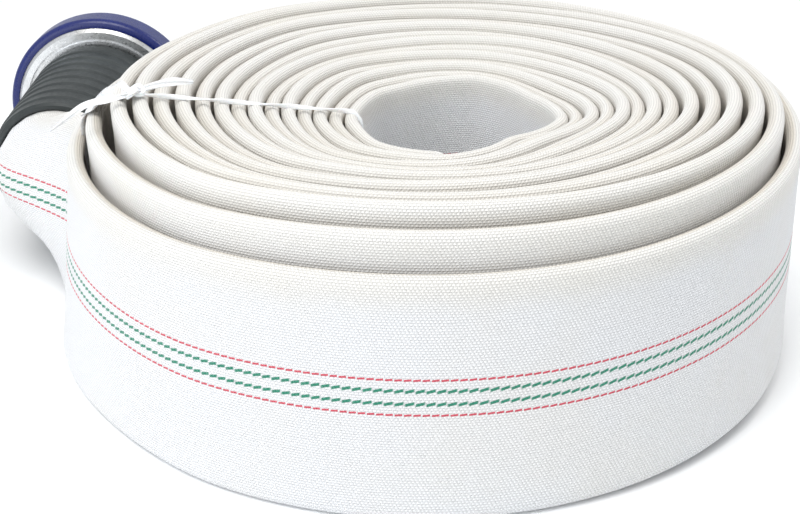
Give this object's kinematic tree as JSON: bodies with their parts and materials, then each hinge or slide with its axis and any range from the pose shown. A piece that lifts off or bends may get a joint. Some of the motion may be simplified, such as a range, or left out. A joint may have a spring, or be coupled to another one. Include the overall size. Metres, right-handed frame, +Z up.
{
  "type": "rolled fire hose",
  "caption": "Flat canvas fire hose folded at mid-length, wound into a double roll and tied with tape, with a swivelling lug coupling at each end.",
  "frame": {"origin": "on the floor, on the axis of the roll's centre hole", "axes": "+Z up, along the roll's axis; +Y the way the left coupling points; +X to the right of it"},
  "size_m": [0.5174, 0.5803, 0.1558],
  "materials": {
    "woven_jacket": "woven polyester, off-white",
    "hose_lining": "smooth rubber lining",
    "tape_film": "thin split film tape",
    "cast_aluminium": "turned and polished casting",
    "blue_rubber": "smooth royal blue",
    "black_rubber": "moulded, satin",
    "spring_steel": "drawn wire",
    "binding_steel": "galvanised wire"
  },
  "bodies": {
    "roll": {"hose_jacket": "woven_jacket", "hose_lining": "hose_lining", "tie_band": "tape_film", "tie_knot": "tape_film", "left_hose_tail": "cast_aluminium", "left_seal_seat": "cast_aluminium", "left_face_seal": "black_rubber", "left_rubber_sleeve": "black_rubber", "left_front_wire": "binding_steel", "left_rear_wire": "binding_steel", "rear_hose_tail": "cast_aluminium", "rear_seal_seat": "cast_aluminium", "rear_face_seal": "black_rubber", "rear_rubber_sleeve": "black_rubber", "rear_front_wire": "binding_steel", "rear_rear_wire": "binding_steel"},
    "left_lock_ring": {"left_lug_ring": "cast_aluminium", "left_bumper_ring": "blue_rubber", "left_snap_ring": "spring_steel"},
    "rear_lock_ring": {"rear_lug_ring": "cast_aluminium", "rear_bumper_ring": "blue_rubber", "rear_snap_ring": "spring_steel"}
  },
  "joints": [
    {"name": "left_coupling_swivel", "type": "hinge", "parent": "roll", "child": "left_lock_ring", "pos_m": [-0.24247, 0.2041, 0.06712], "axis": [0, 1, 0], "continuous": true},
    {"name": "rear_coupling_swivel", "type": "hinge", "parent": "roll", "child": "rear_lock_ring", "pos_m": [-0.02353, 0.31005, 0.06712], "axis": [0.7071, 0.7071, 0], "continuous": true}
  ]
}
